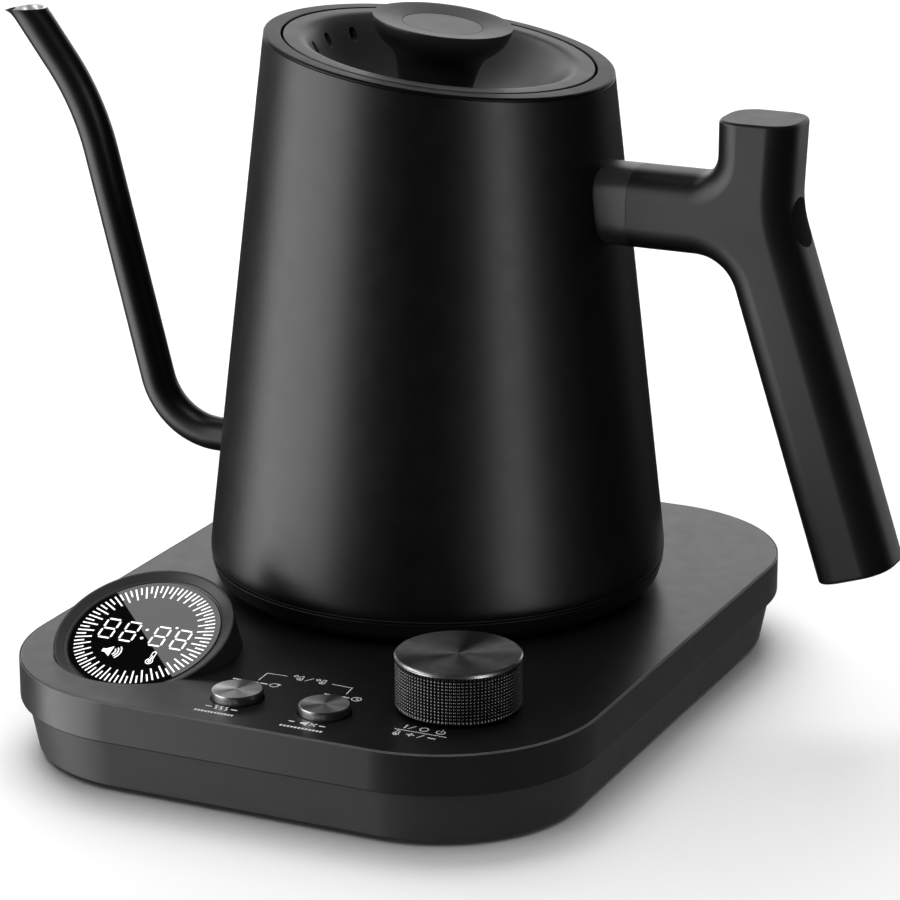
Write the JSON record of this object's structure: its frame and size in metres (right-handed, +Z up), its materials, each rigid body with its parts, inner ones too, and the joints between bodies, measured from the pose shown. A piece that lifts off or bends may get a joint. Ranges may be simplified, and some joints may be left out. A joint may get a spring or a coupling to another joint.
{
  "type": "gooseneck kettle",
  "caption": "Electric gooseneck kettle with a slanted rim, swan-neck spout and leaning handle, standing on a slab base with a tilted round display, push buttons and a knurled dial.",
  "frame": {"origin": "on the table under the feet; X on the vertical axis of the kettle and its power connector, Y in the middle of the base's depth", "axes": "+X towards the handle (the spout is on -X), +Y towards the back (display, buttons and dial are on -Y), +Z up"},
  "size_m": [0.2667, 0.2104, 0.1845],
  "materials": {
    "painted_steel": "satin matt black powder coat on steel",
    "handle_plastic": "soft matt black moulding",
    "collar_plastic": "satin black moulding",
    "lid_plastic": "satin black moulding",
    "base_plastic": "fine matt charcoal moulding",
    "plinth_plastic": "fine matt black moulding",
    "inner_plastic": "plain dark moulding",
    "display_window": "polished smoked window with white dial marks",
    "gunmetal": "spun and knurled dark metal",
    "bright_steel": "plain stainless steel",
    "brass": "plated contact metal",
    "rubber": "matt black rubber",
    "silicone": "grey food-grade silicone",
    "circuit_board": "green solder mask",
    "relay_blue": "blue relay case",
    "white_plastic": "white light guide"
  },
  "bodies": {
    "base": {"base_top_cover": "base_plastic", "base_lower_tray": "plinth_plastic", "foot_front_left": "rubber", "foot_front_right": "rubber", "foot_rear_left": "rubber", "foot_rear_right": "rubber", "base_screw_1": "bright_steel", "base_screw_2": "bright_steel", "base_screw_3": "bright_steel", "base_screw_4": "bright_steel", "cord_grommet": "rubber", "power_socket": "inner_plastic", "socket_sleeve": "brass", "socket_track": "brass", "power_board": "circuit_board", "power_relay": "relay_blue", "transformer": "inner_plastic", "control_board": "circuit_board", "buzzer": "inner_plastic", "display_bezel": "base_plastic", "display_glass": "display_window", "display_module": "white_plastic", "hold_switch": "inner_plastic", "mute_switch": "inner_plastic", "encoder_body": "bright_steel", "encoder_nut": "bright_steel"},
    "hold_key": {"hold_button": "gunmetal", "hold_plunger": "inner_plastic"},
    "mute_key": {"mute_button": "gunmetal", "mute_plunger": "inner_plastic"},
    "encoder_turn": {"encoder_rotor": "brass"},
    "dial": {"dial_shell": "gunmetal", "dial_core": "inner_plastic", "encoder_shaft": "bright_steel"},
    "kettle_plug": {"plug_connector": "inner_plastic", "plug_pin": "brass", "plug_ring": "brass"},
    "kettle": {"kettle_body": "painted_steel", "neck_ring": "painted_steel", "spout_tube": "painted_steel", "bottom_cover": "plinth_plastic", "heating_plate": "bright_steel", "heating_element": "bright_steel", "temperature_sensor": "bright_steel", "thermal_cutout": "inner_plastic", "bottom_screw_1": "bright_steel", "bottom_screw_2": "bright_steel", "bottom_screw_3": "bright_steel", "handle_grip": "handle_plastic", "handle_collar": "collar_plastic", "handle_bracket": "bright_steel", "handle_screw": "bright_steel", "handle_plug": "collar_plastic"},
    "lid": {"lid_cover": "lid_plastic", "lid_knob": "lid_plastic", "knob_disc": "lid_plastic", "lid_screw": "bright_steel", "lid_gasket": "silicone", "lid_underside": "bright_steel"}
  },
  "joints": [
    {"name": "hold_button_press", "type": "slide", "parent": "base", "child": "hold_key", "axis": [0, 0, -1], "range_m": [0, 0.0008], "stiffness_N_per_m": 800, "springref_m": -0.0005},
    {"name": "mute_button_press", "type": "slide", "parent": "base", "child": "mute_key", "axis": [0, 0, -1], "range_m": [0, 0.0008], "stiffness_N_per_m": 800, "springref_m": -0.0005},
    {"name": "dial_turn", "type": "hinge", "parent": "base", "child": "encoder_turn", "pos_m": [0.0476, -0.06985, 0.03], "axis": [0, 0, 1], "continuous": true},
    {"name": "dial_push", "type": "slide", "parent": "encoder_turn", "child": "dial", "axis": [0, 0, -1], "range_m": [0, 0.0005], "stiffness_N_per_m": 1500, "springref_m": -0.0005},
    {"name": "kettle_lift", "type": "slide", "parent": "base", "child": "kettle_plug", "axis": [0, 0, 1], "range_m": [0, 0.1]},
    {"name": "kettle_swivel", "type": "hinge", "parent": "kettle_plug", "child": "kettle", "pos_m": [0, 0.01965, 0.03], "axis": [0, 0, 1], "continuous": true},
    {"name": "lid_lift", "type": "slide", "parent": "kettle", "child": "lid", "axis": [0.1307, 0, 0.9914], "range_m": [0, 0.06]}
  ]
}
